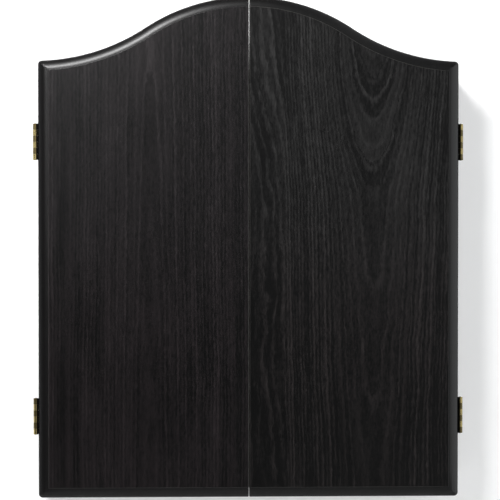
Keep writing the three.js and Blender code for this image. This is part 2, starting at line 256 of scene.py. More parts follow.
def lathe(profile, n=32):
    """A turned form on Z from (radius, height) pairs that start and end on the axis."""
    verts, rings = [], []
    for r, h in profile:
        if r < 1e-6:
            rings.append([len(verts)])
            verts.append((0.0, 0.0, h))
        else:
            rings.append(list(range(len(verts), len(verts) + n)))
            verts += [
                (r * math.cos(2 * math.pi * i / n), r * math.sin(2 * math.pi * i / n), h)
                for i in range(n)
            ]
    faces = []
    for a, b in zip(rings, rings[1:]):
        for i in range(n):
            j = (i + 1) % n
            q = [a[i % len(a)], a[j % len(a)], b[j % len(b)], b[i % len(b)]]
            q = [v for k, v in enumerate(q) if v not in q[:k]]
            if len(q) > 2:
                faces.append(tuple(q))
    return verts, faces, [0] * len(faces)


def carved(part, *others, op="DIFFERENCE"):
    """part with the other closed forms cut away from it or added to it."""
    base = bpy.data.objects.new("tmp_base", mesh_of("tmp_base", part))
    SCENE.collection.objects.link(base)
    tools = []
    for o in others:
        t = bpy.data.objects.new("tmp_tool", mesh_of("tmp_tool", o))
        SCENE.collection.objects.link(t)
        tools.append(t)
        mod = base.modifiers.new("cut", "BOOLEAN")
        mod.operation, mod.solver, mod.object = op, "EXACT", t
    dg = bpy.context.evaluated_depsgraph_get()
    dg.update()
    me = bpy.data.meshes.new_from_object(base.evaluated_get(dg))
    verts = [tuple(c / MM for c in v.co) for v in me.vertices]
    faces = [tuple(p.vertices) for p in me.polygons]
    for o in [base, *tools]:
        bpy.data.objects.remove(o, do_unlink=True)
    bpy.data.meshes.remove(me)
    return verts, faces, [0] * len(faces)


# ------------------------------------------------------------------ shader helpers
class V:
    """A node socket with arithmetic."""

    def __init__(self, sh, sock):
        self.sh, self.sock = sh, sock

    def __add__(self, o):
        return self.sh.math("ADD", self, o)

    def __radd__(self, o):
        return self.sh.math("ADD", o, self)

    def __sub__(self, o):
        return self.sh.math("SUBTRACT", self, o)

    def __rsub__(self, o):
        return self.sh.math("SUBTRACT", o, self)

    def __mul__(self, o):
        return self.sh.math("MULTIPLY", self, o)

    def __rmul__(self, o):
        return self.sh.math("MULTIPLY", o, self)

    def __truediv__(self, o):
        return self.sh.math("DIVIDE", self, o)

    def __pow__(self, o):
        return self.sh.math("POWER", self, o)


class Shader:
    def __init__(self, name, **constants):
        self.m = bpy.data.materials.new(name)
        self.m.use_nodes = True
        self.t = self.m.node_tree
        self.t.nodes.clear()
        self.out = self.t.nodes.new("ShaderNodeOutputMaterial")
        self.b = self.t.nodes.new("ShaderNodeBsdfPrincipled")
        self.t.links.new(self.b.outputs[0], self.out.inputs["Surface"])
        tc = self.t.nodes.new("ShaderNodeTexCoord")
        self.object = V(self, tc.outputs["Object"])
        self.normal = V(self, tc.outputs["Normal"])
        for k, v in constants.items():
            self.b.inputs[k.replace("_", " ")].default_value = v
        self.n = 0

    def put(self, sock, value):
        if isinstance(value, V):
            self.t.links.new(value.sock, sock)
        elif value is not None:
            sock.default_value = value

    def math(self, op, a, b=None, c=None, clamp=False):
        n = self.t.nodes.new("ShaderNodeMath")
        n.operation, n.use_clamp = op, clamp
        for s, v in zip(n.inputs, (a, b, c)):
            self.put(s, v)
        return V(self, n.outputs[0])

    def xyz(self, vec=None, scale=1000.0):
        n = self.t.nodes.new("ShaderNodeSeparateXYZ")
        self.put(n.inputs[0], vec or self.object)
        return [V(self, s) * scale if scale != 1 else V(self, s) for s in n.outputs]

    def vec(self, x, y, z):
        n = self.t.nodes.new("ShaderNodeCombineXYZ")
        for s, v in zip(n.inputs, (x, y, z)):
            self.put(s, v)
        return V(self, n.outputs[0])

    def noise(self, vec, scale=1.0, detail=2.0, rough=0.5, distortion=0.0, dims="3D", w=None):
        n = self.t.nodes.new("ShaderNodeTexNoise")
        n.noise_dimensions = dims
        if vec is not None and dims != "1D":
            self.put(n.inputs["Vector"], vec)
        if w is not None:
            self.put(n.inputs["W"], w)
        self.put(n.inputs["Scale"], scale)
        self.put(n.inputs["Detail"], detail)
        self.put(n.inputs["Roughness"], rough)
        self.put(n.inputs["Distortion"], distortion)
        return V(self, n.outputs["Fac"])

    def voronoi(self, vec, scale=1.0, feature="F1", randomness=1.0):
        n = self.t.nodes.new("ShaderNodeTexVoronoi")
        n.feature = feature
        self.put(n.inputs["Vector"], vec)
        self.put(n.inputs["Scale"], scale)
        self.put(n.inputs["Randomness"], randomness)
        return V(self, n.outputs["Distance"])

    def white(self, w):
        n = self.t.nodes.new("ShaderNodeTexWhiteNoise")
        n.noise_dimensions = "1D"
        self.put(n.inputs["W"], w)
        return V(self, n.outputs["Value"])

    def span(self, value, lo, hi, a=0.0, b=1.0, smooth=False):
        n = self.t.nodes.new("ShaderNodeMapRange")
        n.interpolation_type = "SMOOTHSTEP" if smooth else "LINEAR"
        n.clamp = True
        for k, v in zip(("Value", "From Min", "From Max", "To Min", "To Max"), (value, lo, hi, a, b)):
            self.put(n.inputs[k], v)
        return V(self, n.outputs["Result"])

    def mix(self, fac, a, b, mode="MIX"):
        n = self.t.nodes.new("ShaderNodeMix")
        n.data_type, n.blend_type, n.clamp_factor = "RGBA", mode, True
        self.put(n.inputs[0], fac)
        for s, v in ((n.inputs[6], a), (n.inputs[7], b)):
            self.put(s, v if isinstance(v, V) or len(v) == 4 else (*v, 1.0))
        return V(self, n.outputs[2])

    def finish(self, color=None, rough=None, metallic=None, height=None, depth=0.1, strength=1.0, more=()):
        """depth is in mm: the height field runs from 0 to 1 over that distance."""
        self.put(self.b.inputs["Base Color"], color)
        self.put(self.b.inputs["Roughness"], rough)
        if metallic is not None:
            self.put(self.b.inputs["Metallic"], metallic)
        normal = None
        for h, d in ([(height, depth)] if height is not None else []) + list(more):
            n = self.t.nodes.new("ShaderNodeBump")
            self.put(n.inputs["Height"], h)
            n.inputs["Distance"].default_value = d * MM
            n.inputs["Strength"].default_value = strength
            if normal is not None:
                self.put(n.inputs["Normal"], normal)
            normal = V(self, n.outputs["Normal"])
        if normal is not None:
            self.put(self.b.inputs["Normal"], normal)
        return self.m


def grey(v, tint=(1.0, 1.0, 1.0)):
    return (v * tint[0], v * tint[1], v * tint[2], 1.0)


# ------------------------------------------------------------------ black ash foil
INK = {-1: (1.16, 0.970, 1.04), 0: (1.0, 0.985, 1.0), 1: (1.02, 0.995, 0.985)}
INK_LOW = {-1: (1.25, 0.950, 1.04), 1: (1.15, 0.960, 0.96)}


# tint of the pale painted highlights on the meeting edge's arris and along the quirk
RUB_AND_GLINT_TINT = (1.04, 1.0, 0.92)


def ash(name, side, kind="face"):
    """Black embossed ash-grain foil. side is -1, 1 or 0 for a plain straight grain. kind: face, edge, quirk, back, or
    the kind for the rim beside a hinge, which paints that rim near black as shade.
    """
    # the rim beside a hinge reflects almost nothing, as part of its painted shade
    s = Shader(name, Specular_IOR_Level=0.02 if kind == "hinge_shade" else 0.27)
    x, y, z = s.xyz()
    seed = 37.0 * side + 11.0
    # slow wander of the grain, in mm
    slow = s.noise(s.vec(x / 90, seed, z / 230), 1.0, 2.0, 0.5) - 0.5
    mid = s.noise(s.vec(x / 22, seed + 5, z / 70), 1.0, 2.0, 0.55) - 0.5
    fine = s.noise(s.vec(x / 5, seed + 9, z / 16), 1.0, 2.0, 0.6) - 0.5
    pitch = 3.3 if side > 0 else 4.3
    if side < 0:
        # one cathedral that points up, centred a little left of the door's middle
        dx = x + 121.5 + slow * 9.0 + mid * 4.2 + fine * 0.9
        w = 15.2 + 0.0200 * (z + 57.0) + (s.noise(None, 1.0, 1.0, 0.5, dims="1D", w=z / 60 + 3.3) - 0.5) * 1.2
        w = s.math("MAXIMUM", w, 4.0)
        away = s.math("SQRT", dx * dx + w * w)
        lean = s.math("MAXIMUM", s.math("ABSOLUTE", dx) / away, 0.30)
        ring = away / pitch
    elif side > 0:
        # one that points down, and broad wavy bands beside the meeting edge
        xe = s.math("MAXIMUM", x, 44.0) + s.math("MINIMUM", x - 44.0, 0.0) * 0.30
        # the upper part between them is finer and more even
        calm = s.span(s.math("ABSOLUTE", x - 82.0), 25.0, 60.0, 1.0, 0.0, smooth=True) * s.span(z, -90.0, 20.0, smooth=True)
        dx = xe - 153.5 + slow * 10.0 + mid * (7.0 - calm * 4.2) + fine * 1.0
        w = (
            34.0
            + s.span(z, 330.0, 110.0, 0.0, 26.0)
            + s.span(z, 110.0, -270.0, 0.0, 10.0)
            + (s.noise(None, 1.0, 1.0, 0.5, dims="1D", w=z / 55 + 8.1) - 0.5) * 2.5
        )
        away = s.math("SQRT", dx * dx + w * w)
        lean = s.math("MAXIMUM", s.math("ABSOLUTE", dx) / away, 0.30) * s.span(x, 30.0, 60.0, 0.55, 1.0)
        ring = away / pitch
    else:
        dx = x + slow * 8.0 + mid * 3.0 + fine * 0.8
        lean = 1.0
        ring = (dx + y) / pitch
    # the lines waver, break and fade
    shake = s.noise(s.vec(x / 2.4, seed, z / 8), 1.0, 2.0, 0.6) - 0.5
    lean = s.math("POWER", lean, 0.7) if side else lean
    ring = ring + (fine * 0.50 + shake * 0.95) * lean
    whole = s.math("FLOOR", ring)
    part = ring - whole
    near = part * pitch / lean  # mm from the ring's edge
    lift = s.span(near, 0.15, 1.25, smooth=True) * s.span(near, 1.5, 3.5, 1.0, 0.0, smooth=True)
    fade = s.span(s.noise(s.vec(x / 7, seed + 3, z / 24), 1.0, 2.0, 0.6), 0.32, 0.62, 0.25, 1.0)
    strength = (s.white(whole + seed) * 0.70 + 0.30) * fade
    ridge = lift * strength
    tint = s.white(whole * 1.7 + seed + 4.0)  # each ring's own depth of colour, seen where the rings are broad
    years = s.noise(s.vec(ring / 2.4, seed + 6, z / 110), 1.0, 2.0, 0.55)  # light and dark runs of rings
    # fibres, streaks and pores that run with the grain
    fibre = s.noise(s.vec(x / 1.9, y / 3, z / 7.5), 1.0, 3.0, 0.7)
    fleck = s.noise(s.vec(x / 3.4, y / 3 + 9, z / 17), 1.0, 2.0, 0.6)
    streak = s.noise(s.vec(x / 0.9, y / 3, z / 26), 1.0, 3.0, 0.65)
    pore = s.noise(s.vec(x / 0.42, y, z / 3.4), 1.0, 2.0, 0.6)
    pore = s.span(pore, 0.56, 0.68, smooth=True) * s.span(part, 0.25, 0.75, 1.0, 0.25)
    patch = s.noise(s.vec(x / 11, seed + 21, z / 120), 1.0, 2.0, 0.5)
    if kind == "face":
        low = s.span(z, 40.0, -140.0)
        bell = lambda middle, half, height: s.span(s.math("ABSOLUTE", x - middle), 0.0, half, height, 0.0, smooth=True)
        lines = (
            ridge * (0.58 if side < 0 else 0.76)
            + (fibre - 0.5) * (1.12 if side < 0 else 1.46)
            + (fleck - 0.5) * (0.47 if side < 0 else 0.64)
            + (streak - 0.5) * 0.50
        )
        if side < 0:  # the outer half of the left door is quieter
            lines = lines * s.span(x, -60.0, -170.0, 1.0, 0.78) + s.span(x, -60.0, -170.0, 0.0, 0.040)
        tone = (
            lines
            + (tint - 0.5) * (0.26 if side < 0 else 0.40 - calm * 0.18)
            + (years - 0.5) * (0.36 if side < 0 else 0.42 - calm * 0.24)
            + (patch - 0.5) * (low * 0.30 + (0.38 if side < 0 else 0.34 - calm * 0.16))
            + 0.155
            - pore * 0.13
        )
        if side > 0:  # a paler board round the cathedral's upper end
            tone = tone + s.span(s.math("ABSOLUTE", x - 178.0), 12.0, 60.0, 0.14, 0.0, smooth=True) * s.span(z, -120.0, 140.0, smooth=True)
            tone = tone - s.span(x, 150.0, 215.0, smooth=True) * s.span(z, 100.0, 190.0, 0.0, 0.15, smooth=True)
            tone = tone - s.span(z, 75.0, -200.0, 0.0, 0.09)
            tone = tone - s.span(x, 62.0, 44.0, 0.0, 0.10) * s.span(z, 175.0, 230.0)
            tone = tone - s.span(x, 40.0, 90.0, 0.0, 0.09) * s.span(z, -60.0, -170.0)
        else:
            tone = tone - bell(-172.0, 36.0, 0.03) + bell(-122.0, 42.0, 0.12) - bell(-73.0, 40.0, 0.09)
            tone = tone + bell(-27.0, 36.0, 0.05) * s.span(z, -200.0, -80.0, -1.0, 1.0)
            tone = tone - s.span(z, 20.0, -110.0, 0.0, 0.05) + s.span(z, -120.0, -215.0, 0.0, 0.10)
            tone = tone - s.span(x, -20.0, -230.0, 0.0, 0.03) * s.span(z, -60.0, 160.0)
        # darker and a little redder towards the foot of the door
        depth = 0.0168 if side < 0 else 0.0182
        ink = s.mix(s.span(z, 150.0, -90.0, smooth=True), grey(depth, INK[side]), grey(depth, INK_LOW[side]))
        color = s.mix(s.math("MULTIPLY", tone, 1.0, clamp=True), grey(0.0003, INK[side]), ink)
        color = s.mix(s.span(z, -270.0, 320.0, 0.25 if side < 0 else 0.33, 0.0), color, grey(0.0003, INK[side]))
        rough = 0.336 + ridge * 0.035 + (streak - 0.5) * 0.05 - pore * 0.02 + (patch - 0.5) * 0.04
        rough = rough - s.span(z, 60.0, -150.0, 0.0, 0.030)
        height = ridge * 0.60 + streak * 0.22 - pore * 0.14
        return s.finish(color, rough, height=height, depth=0.040)
    if kind == "edge":
        tone = ridge * 0.35 + (streak - 0.5) * 0.5 + 0.35
        color = s.mix(s.math("MULTIPLY", tone, 1.0, clamp=True), grey(0.0004, INK[side]), grey(0.0034, INK[side]))
        # painted highlight: a pale, rubbed-looking strip along the arris of the meeting edge
        glint_noise = s.noise(s.vec(x / 3, y / 3, z / 14), 1.0, 3.0, 0.6)
        rub_and_glint = s.span(s.math("ABSOLUTE", x), 0.7, 1.5, 1.0, 0.0, smooth=True) * s.span(glint_noise, 0.30, 0.62, 0.45, 1.0)
        color = s.mix(rub_and_glint, color, grey(0.034, RUB_AND_GLINT_TINT))
        rough = 0.352 + (streak - 0.5) * 0.05 + ridge * 0.015 + rub_and_glint * 0.12
        height = ridge * 0.30 + streak * 0.20 - pore * 0.08
        return s.finish(color, rough, height=height, depth=0.022)
    if kind == "quirk":
        # painted highlight: a pale line along the quirk in a rubbed-foil tint, kept weak on the upper left upright and
        # crown
        glint_noise = s.noise(s.vec(x / 9, y / 3, z / 9), 1.0, 3.0, 0.6)
        rub_and_glint = s.span(glint_noise, 0.32, 0.66, 0.35, 1.0) * s.span(streak, 0.35, 0.65, 0.6, 1.0)
        upright = s.span(s.math("ABSOLUTE", x), 236.0, 246.0)
        if side < 0:
            rub_and_glint = rub_and_glint * (1.0 - upright * s.span(z, 40.0, 170.0, 0.0, 0.80)) * s.span(z, 200.0, 250.0, 1.0, 0.25)
        else:
            rub_and_glint = rub_and_glint * (1.0 - upright * 0.80)
        color = s.mix(rub_and_glint, grey(0.0030, INK[side]), grey(0.034, RUB_AND_GLINT_TINT))
        rough = 0.36 + rub_and_glint * 0.08
        return s.finish(color, rough, height=streak * 0.5 + rub_and_glint * 0.3, depth=0.02)
    # painted shade: the rim beside each hinge is coloured near black and rough, with almost no reflection
    if kind == "hinge_shade":
        color = s.mix(s.span(fibre, 0.3, 0.7), grey(0.0008), grey(0.0026))
        return s.finish(color, 0.80 + (streak - 0.5) * 0.15, height=streak * 0.5 + fibre * 0.4, depth=0.03)
    tone = ridge * 0.4 + (streak - 0.5) * 0.5 + 0.35
    color = s.mix(s.math("MULTIPLY", tone, 1.0, clamp=True), grey(0.0060, INK[side]), grey(0.0150, INK[side]))
    rough = 0.52 + (streak - 0.5) * 0.10
    height = ridge * 0.4 + streak * 0.3 - pore * 0.3
    return s.finish(color, rough, height=height, depth=0.06)


def board(name, along="z"):
    """Black laminated carcass board, its grain along Z or X."""
    s = Shader(name)
    x, y, z = s.xyz()
    a, b = (z, x) if along == "z" else (x, z)
    c = b + y
    wander = (s.noise(s.vec(c / 30, 2.0, a / 160), 1.0, 2.0, 0.5) - 0.5) * 6.0
    ring = (c + wander) / 4.2 + (s.noise(s.vec(c / 3, 7.0, a / 12), 1.0, 2.0, 0.6) - 0.5) * 0.5
    part = s.math("FRACT", ring)
    ridge = s.span(part, 0.0, 0.3, smooth=True) * s.span(part, 0.45, 1.0, 1.0, 0.0, smooth=True)
    streak = s.noise(s.vec(c / 0.9, 4.0, a / 24), 1.0, 3.0, 0.65)
    pore = s.span(s.noise(s.vec(c / 0.45, 1.0, a / 3.5), 1.0, 2.0, 0.6), 0.58, 0.7, smooth=True)
    tone = ridge * 0.4 + (streak - 0.5) * 0.7 + 0.3
    color = s.mix(s.math("MULTIPLY", tone, 1.0, clamp=True), grey(0.0065), grey(0.0190))
    rough = 0.50 + (streak - 0.5) * 0.12 + pore * 0.1
    return s.finish(color, rough, height=ridge * 0.4 + streak * 0.3 - pore * 0.5, depth=0.07)


def hardboard(name):
    """Brown pressed fibre board."""
    s = Shader(name)
    x, y, z = s.xyz()
    fibre = s.noise(s.vec(x / 1.6, y / 1.6, z / 1.1), 1.0, 4.0, 0.7, 1.2)
    fleck = s.noise(s.vec(x / 0.5, y, z / 0.5), 1.0, 2.0, 0.6)
    cloud = s.noise(s.vec(x / 90, y, z / 70), 1.0, 3.0, 0.5)
    c = s.mix(s.span(fibre, 0.3, 0.7), (0.082, 0.048, 0.026), (0.165, 0.104, 0.060))
    c = s.mix(s.span(fleck, 0.62, 0.72) * 0.7, c, (0.040, 0.023, 0.013))
    c = s.mix(s.span(cloud, 0.35, 0.7) * 0.35, c, (0.200, 0.135, 0.085))
    return s.finish(c, 0.62 + (fleck - 0.5) * 0.25, height=fibre * 0.6 + fleck * 0.4, depth=0.09)


def felt(name):
    s = Shader(name, Sheen_Weight=0.55, Sheen_Roughness=0.45, Specular_IOR_Level=0.25)
    s.b.inputs["Sheen Tint"].default_value = (0.30, 0.31, 0.33, 1.0)
    x, y, z = s.xyz()
    fuzz = s.noise(s.vec(x / 0.55, y / 0.55, z / 0.55), 1.0, 4.0, 0.75, 1.5)
    tuft = s.noise(s.vec(x / 5, y, z / 5), 1.0, 2.0, 0.5, 0.6)
    nap = s.noise(s.vec(x / 60, y, z / 45), 1.0, 2.0, 0.5)
    c = s.mix(s.span(fuzz, 0.3, 0.72), (0.0060, 0.0064, 0.0072), (0.030, 0.031, 0.034))
    c = s.mix(s.span(nap, 0.4, 0.65) * 0.35, c, (0.022, 0.023, 0.026))
    return s.finish(c, 0.93 + (tuft - 0.5) * 0.08, height=fuzz * 0.7 + tuft * 0.3, depth=0.35)


def chalkboard(name):
    s = Shader(name, Specular_IOR_Level=0.32)
    x, y, z = s.xyz()
    grit = s.noise(s.vec(x / 0.35, y, z / 0.35), 1.0, 3.0, 0.7)
    wipe = s.noise(s.vec(x / 70, y, z / 16), 1.0, 4.0, 0.6, 1.6)
    wipe2 = s.noise(s.vec((x + z) / 24, y, (z - x) / 90), 1.0, 3.0, 0.6, 0.8)
    dust = s.span(wipe, 0.42, 0.78, smooth=True) * 0.6 + s.span(wipe2, 0.5, 0.8, smooth=True) * 0.5
    dust = dust * (grit * 0.9 + 0.4)
    c = s.mix(dust * 0.30, (0.0085, 0.0098, 0.0092), (0.085, 0.088, 0.086))
    return s.finish(c, s.math("ADD", dust * 0.22, 0.62), height=grit, depth=0.05)


def paint(name):
    """Screen-printed off-white lines and numbers."""
    s = Shader(name)
    x, y, z = s.xyz()
    wear = s.noise(s.vec(x / 0.8, y, z / 0.8), 1.0, 4.0, 0.7)
    c = s.mix(s.span(wear, 0.52, 0.75), (0.62, 0.62, 0.58), (0.30, 0.30, 0.28))
    return s.finish(c, 0.6 + (wear - 0.5) * 0.2, height=wear, depth=0.02)


def metal(name, dark, light, rough=0.3, spots=(0.05, 0.04, 0.02), spot=0.4, brush=0.15, depth=0.02, knuckle=None):
    """Plated or solid metal, with handling marks and a little tarnish.

    knuckle: the colours painted on a hinge's open-air barrel, on the left and on the right: tarnished brass with
    painted light and shade, the left-hand barrels lighter and the right-hand ones darker. The corner between the barrel
    and the board is painted black as shade.
    """
    s = Shader(name, Specular_IOR_Level=0.08 if knuckle else 0.5)
    x, y, z = s.xyz()
    cloud = s.noise(s.vec(x / 4, y / 4, z / 4), 1.0, 3.0, 0.6, 0.4)
    tarnish = s.noise(s.vec(x / 1.3, y / 1.3, z / 1.3), 1.0, 4.0, 0.7)
    draw = s.noise(s.vec(x / 0.10, y / 0.10, z / 2.5), 1.0, 2.0, 0.6)
    c = s.mix(s.span(cloud, 0.3, 0.7), dark, light)
    c = s.mix(s.span(tarnish, 0.56, 0.74, smooth=True) * spot, c, spots)
    r = rough + (cloud - 0.5) * 0.14 + (draw - 0.5) * brush + s.span(tarnish, 0.56, 0.74) * 0.16
    shine = 1.0
    if knuckle:
        ax = s.math("ABSOLUTE", x) + (cloud - 0.5) * 0.4
        # painted light and shade on the barrel, under the tarnish: lighter on the left-hand hinges, darker on the
        # right-hand ones
        barrel_tarnish_and_shade = s.mix(s.span(x, -50.0, 50.0), knuckle[0], knuckle[1])
        barrel_tarnish_and_shade = s.mix(s.span(cloud, 0.3, 0.7) * 0.35, barrel_tarnish_and_shade, (0.030, 0.022, 0.009))
        c = s.mix(s.span(ax, 259.4, 260.2, smooth=True), c, barrel_tarnish_and_shade)
        # painted shade: the front of the barrel beside the door's edge is black and not metallic
        front = s.span(y, -69.3, -69.9, smooth=True)
        black = s.span(ax, 262.6, 263.3, 1.0, 0.0, smooth=True) * s.span(ax, 258.9, 259.7, smooth=True) * front
        c = s.mix(black, c, (0.0030, 0.0024, 0.0018))
        r = r + black * 0.5
        shine = 1.0 - black
    return s.finish(c, s.math("MAXIMUM", r, 0.12), metallic=shine, height=draw * 0.6 + cloud * 0.4, depth=depth)


def moulded(name, dark, light, rough=0.45, grain=0.6, depth=0.05):
    """Moulded plastic or rubber, spark-eroded texture."""
    s = Shader(name)
    x, y, z = s.xyz()
    g = s.voronoi(s.vec(x / grain, y / grain, z / grain), 1.0)
    cloud = s.noise(s.vec(x / 7, y / 7, z / 7), 1.0, 3.0, 0.5)
    c = s.mix(s.span(cloud, 0.3, 0.7) * 0.6 + g * 0.3, dark, light)
    return s.finish(c, rough + (cloud - 0.5) * 0.12 + (g - 0.4) * 0.08, height=g, depth=depth)


M = {
    "face_left": ash("black ash foil left", -1, "face"),
    "face_right": ash("black ash foil right", 1, "face"),
    "edge_left": ash("black ash foil moulding left", -1, "edge"),
    "edge_right": ash("black ash foil moulding right", 1, "edge"),
    "quirk_left": ash("black ash foil quirk with painted highlight left", -1, "quirk"),
    "quirk_right": ash("black ash foil quirk with painted highlight right", 1, "quirk"),
    "hinge_shade": ash("black ash foil with painted shade beside the hinges", 0, "hinge_shade"),
    "back": ash("black melamine", 0, "back"),
    "board_z": board("black laminate upright", "z"),
    "board_x": board("black laminate level", "x"),
    "hardboard": hardboard("hardboard"),
    "felt": felt("black felt"),
    "chalk": chalkboard("chalkboard"),
    "paint": paint("printed lines"),
    # the barrel colours below paint light and shade: lighter on the left than on the right, and the door leaf's
    # knuckles darker than the case leaf's
    "brass": metal("brass", (0.44, 0.33, 0.125), (0.66, 0.52, 0.225), 0.28, (0.12, 0.080, 0.03), 0.50, knuckle=((0.58, 0.475, 0.215), (0.25, 0.205, 0.090))),
    "brass_shaded_copy": metal("brass door leaf", (0.42, 0.31, 0.115), (0.62, 0.48, 0.205), 0.30, (0.12, 0.080, 0.03), 0.50, knuckle=((0.215, 0.172, 0.076), (0.082, 0.066, 0.030))),
    "brass_screw": metal("brass screw", (0.46, 0.35, 0.14), (0.66, 0.53, 0.25), 0.27, (0.12, 0.08, 0.03), 0.45),
    "zinc": metal("zinc plate", (0.36, 0.37, 0.39), (0.55, 0.57, 0.60), 0.34, (0.20, 0.20, 0.19), 0.5),
    "magnet": metal("magnet pole", (0.075, 0.078, 0.085), (0.13, 0.135, 0.145), 0.42, (0.05, 0.035, 0.025), 0.6),
    "plastic": moulded("catch plastic", (0.0065, 0.0065, 0.0070), (0.0150, 0.0150, 0.0160), 0.42),
    "rubber": moulded("rubber", (0.0085, 0.0085, 0.0088), (0.0200, 0.0200, 0.0205), 0.72, 0.35, 0.04),
}


# ------------------------------------------------------------------ doors
def door_path(d):
    """Half of the door outline in X and Z, moved in by d: from the meeting edge's foot, round the outside, to its top."""
    r = max(CORNER_R - d, 0.0)
    x1, z0 = HALF - d, DOOR_BOTTOM + d
    pts = []
    e = max(d, CORNER_R)
    cx, cz = HALF - e, DOOR_BOTTOM + e
    for i in range(17):
        pts.append((GAP + ARRIS + (cx - GAP - ARRIS) * i / 16, z0))
    for i in range(1, 7):
        a = -math.pi / 2 + math.pi / 2 * i / 6
        pts.append((cx + r * math.cos(a), cz + r * math.sin(a)))
    # shoulder: the fillet between the upright side and the hollow sweep
    fx = HALF - e
    fz = SWEEP_Z - math.sqrt((SWEEP_R + e) ** 2 - (SWEEP_X - fx) ** 2)
    marks = [cz, -170 - HINGE_SHADE_HALF, -170 + HINGE_SHADE_HALF, 170 - HINGE_SHADE_HALF, 170 + HINGE_SHADE_HALF, fz]
    for lo, hi, count in zip(marks, marks[1:], (3, 2, 10, 2, 3)):
        for i in range(1, count + 1):
            pts.append((x1, lo + (hi - lo) * i / count))
    b = math.atan2(SWEEP_Z - fz, SWEEP_X - fx)  # from the fillet's centre to the sweep's centre
    for i in range(1, 8):
        a = b * i / 7
        pts.append((fx + r * math.cos(a), fz + r * math.sin(a)))
    # hollow sweep
    a0 = b + math.pi
    turn = math.atan2(SWEEP_Z - CROWN_Z, SWEEP_X)
    a1 = turn + math.pi
    for i in range(1, 41):
        a = a0 + (a1 - a0) * i / 40
        pts.append((SWEEP_X + (SWEEP_R + d) * math.cos(a), SWEEP_Z + (SWEEP_R + d) * math.sin(a)))
    # crown
    rr = CROWN_R - d
    end = math.acos((GAP + ARRIS) / rr)
    for i in range(1, 49):
        a = turn + (end - turn) * i / 48
        pts.append((rr * math.cos(a), CROWN_Z + rr * math.sin(a)))
    return pts


ARRIS = 0.9
# half the height of the painted shade on the door's rim beside each hinge
HINGE_SHADE_HALF = 23.3


def door_profile():
    """(inset, depth) rows from the back face, round the edge, to the raised field."""
    rows = [(0.5, DOOR_BACK), (0.15, DOOR_BACK - 0.15), (0.0, DOOR_BACK - 0.5)]
    t0, big, r2, dq, tq = math.radians(3.4), 18.3, 4.0, 12.4, 0.50
    t1 = math.asin((dq + big * math.sin(t0) - r2) / (big - r2))
    depth = lambda t: tq + big * (math.cos(t0) - math.cos(t))
    side_y = DOOR_FRONT + depth(t1) + r2 * math.cos(t1)
    for i in range(0, 9):
        t = math.pi / 2 + (t1 - math.pi / 2) * i / 8
        rows.append((r2 * (1 - math.sin(t)), side_y - r2 * math.cos(t)))
    for i in range(1, 19):
        t = t1 + (t0 - t1) * i / 18
        rows.append((dq - big * (math.sin(t) - math.sin(t0)), DOOR_FRONT + depth(t)))
    rows += [
        (dq + 0.08, DOOR_FRONT + tq - 0.03),
        (dq + 0.15, DOOR_FRONT + tq - 0.10),
        (dq + 0.30, DOOR_FRONT + 0.12),
        (dq + 0.40, DOOR_FRONT + 0.04),
        (dq + 0.60, DOOR_FRONT),
    ]
    return rows


def door_mesh(side):
    rows = door_profile()
    verts, faces, slots = [], [], []
    grid = []
    for d, y in rows:
        path = door_path(d)
        grid.append(list(range(len(verts), len(verts) + len(path))))
        verts += [(side * x, y, z) for x, z in path]
    n = len(grid[0])
    for k, (a, b) in enumerate(zip(grid, grid[1:])):
        for i in range(n - 1):
            faces.append((a[i], a[i + 1], b[i + 1], b[i]))
            # faces of the rim beside a hinge take the painted shade
            beside = 1 <= k <= 10 and i in (25, 26, 37, 38)  # the rim beside a hinge
            slots.append(4 if beside else 3 if k >= len(grid) - 6 else 1)
    faces.append(tuple(grid[-1]))
    slots.append(0)
    faces.append(tuple(grid[0][::-1]))
    slots.append(2)
    # meeting edge: a small arris, then the flat
    first = [g[0] for g in grid] + [g[-1] for g in grid[::-1]]
    section = [(verts[i][2], verts[i][1]) for i in first]
    flip = area_of(section) < 0
    rings = [first]
    for k in (1, 2, 3, 4):
        a = math.pi / 2 * k / 4
        off, x = ARRIS * (1 - math.cos(a)), GAP + ARRIS * (1 - math.sin(a))
        loop = inset(section, -off if flip else off)
        rings.append(list(range(len(verts), len(verts) + len(loop))))
        verts += [(side * x, y, z) for z, y in loop]
    m = len(first)
    for a, b in zip(rings, rings[1:]):
        for i in range(m):
            j = (i + 1) % m
            faces.append((a[i], a[j], b[j], b[i]))
            slots.append(1)
    faces.append(tuple(rings[-1]))
    slots.append(1)
    return verts, faces, slots


for name, side in SIDES:
    piece(
        f"arched_door_{name}",
        door_mesh(side),
        f"{name}_door",
        [M[f"face_{name}"], M[f"edge_{name}"], M["back"], M[f"quirk_{name}"], M["hinge_shade"]],
        f"{name}_door",
        sharp=24.0,
    )

# ------------------------------------------------------------------ carcass
for name, side in SIDES:
    outline = rounded(
        [(side * 245, 0), (side * 245, -DEPTH), (side * 260, -DEPTH), (side * 260, 0)],
        [0.3, 0.5, 0.5, 0.5],
        3,
    )
    rebate = slab(rect(side * 240, side * 252, -252, 252), -4, 2, "y", 0)
    piece(
        f"side_board_{name}",
        carved(slab(outline, -260, 260, "z", 0.4), rebate),
        "case",
        M["board_z"],
        f"{name}_side_panel",
    )
for name, sz in (("top", 1), ("bottom", -1)):
    outline = rounded(
        [(-4, sz * 245), (-DEPTH, sz * 245), (-DEPTH, sz * 260), (0, sz * 260), (0, sz * 252), (-4, sz * 252)],
        [0, 0.5, 0.5, 0.5, 0.0, 0.0],
        3,
    )
    piece(f"{name}_board", slab(outline, -244.95, 244.95, "x", 0.2), "case", M["board_x"], f"{name}_panel")

